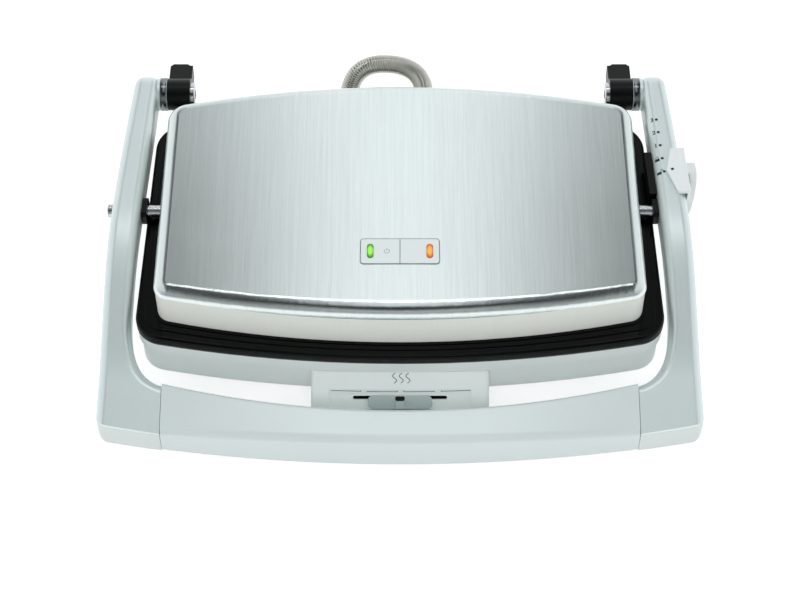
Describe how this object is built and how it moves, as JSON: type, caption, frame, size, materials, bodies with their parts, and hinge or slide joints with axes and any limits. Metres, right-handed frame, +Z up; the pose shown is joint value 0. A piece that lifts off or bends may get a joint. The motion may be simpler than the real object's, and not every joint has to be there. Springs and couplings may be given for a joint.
{
  "type": "contact sandwich press",
  "caption": "Flat electric sandwich press: heated tray base, floating steel-topped lid in a U-shaped lift handle, lid-height slider on the arm and heat slider on the front.",
  "frame": {"origin": "under the middle of the press, on the surface it stands on", "axes": "+X to the press's right-hand arm, +Y to the rear, +Z up; the press is stored closed"},
  "size_m": [0.3933, 0.2946, 0.0919],
  "materials": {
    "silver_paint": "satin metallic paint",
    "silver_knob": "satin metallic paint",
    "grey_shell": "fine texture",
    "pale_plastic": "gloss",
    "satin_steel": "brushed front to back",
    "black_nylon": "matt",
    "coated_aluminium": "non-stick coating",
    "element_sheath": "oxidised",
    "zinc_sheet": "bare sheet",
    "zinc_screw": "zinc plated",
    "polished_steel": "polished",
    "conduit_steel": "ribbed",
    "rubber": "matt",
    "ceramic": "glazed",
    "brown_phenolic": "smooth",
    "green_lens": "clear",
    "orange_lens": "clear"
  },
  "bodies": {
    "base": {"base_housing": "grey_shell", "bottom_cover": "zinc_sheet", "cover_screws": "zinc_screw", "rubber_feet": "rubber", "lower_plate": "coated_aluminium", "lower_element": "element_sheath", "lower_reflector": "zinc_sheet", "hinge_bracket_left": "black_nylon", "hinge_bracket_right": "black_nylon", "bracket_screws": "zinc_screw", "stand_pads": "rubber", "hinge_axles": "polished_steel", "heat_control": "brown_phenolic", "lower_thermal_fuse": "ceramic", "terminal_block": "ceramic", "mains_inlet_gland": "black_nylon", "conduit_base_gland": "black_nylon", "conduit": "conduit_steel"},
    "handle": {"arm_left": "silver_paint", "arm_right": "silver_paint", "arm_under_left": "grey_shell", "arm_under_right": "grey_shell", "front_bar": "silver_paint", "front_bar_cover": "grey_shell", "hinge_bushes": "black_nylon", "pivot_bolts": "polished_steel", "pivot_nuts": "zinc_screw", "pivot_spacers": "black_nylon", "arm_screws": "zinc_screw", "bar_screws": "zinc_screw"},
    "lid": {"lid_cover": "satin_steel", "lid_band": "satin_steel", "lid_frame": "black_nylon", "upper_plate": "coated_aluminium", "upper_element": "element_sheath", "upper_reflector": "zinc_sheet", "pivot_ears": "zinc_sheet", "pivot_bushes": "black_nylon", "indicator_panel": "pale_plastic", "green_lens": "green_lens", "orange_lens": "orange_lens", "lamp_board": "brown_phenolic", "upper_thermal_fuse": "ceramic", "conduit_lid_gland": "black_nylon", "lid_screws": "zinc_screw"},
    "height_slider": {"height_knob": "silver_knob", "slider_link": "polished_steel", "height_cam": "black_nylon"},
    "heat_slider": {"heat_knob": "silver_knob", "heat_stem": "black_nylon"}
  },
  "joints": [
    {"name": "handle_lift", "type": "hinge", "parent": "base", "child": "handle", "pos_m": [0, 0.1195, 0.062], "axis": [-1, 0, 0], "range_deg": [0, 100], "deforming": ["conduit"]},
    {"name": "lid_float", "type": "hinge", "parent": "handle", "child": "lid", "pos_m": [0, 0.0175, 0.062], "axis": [-1, 0, 0], "range_deg": [0, 6.2]},
    {"name": "height_slide", "type": "slide", "parent": "handle", "child": "height_slider", "axis": [-0.0475, 0.9989, 0], "range_m": [0, 0.0452]},
    {"name": "heat_slide", "type": "slide", "parent": "base", "child": "heat_slider", "axis": [1, 0, 0], "range_m": [-0.0237, 0.0237]}
  ],
  "couplings": [
    {"joint": "lid_float", "follows": "handle_lift", "ratio": 0.06}
  ]
}
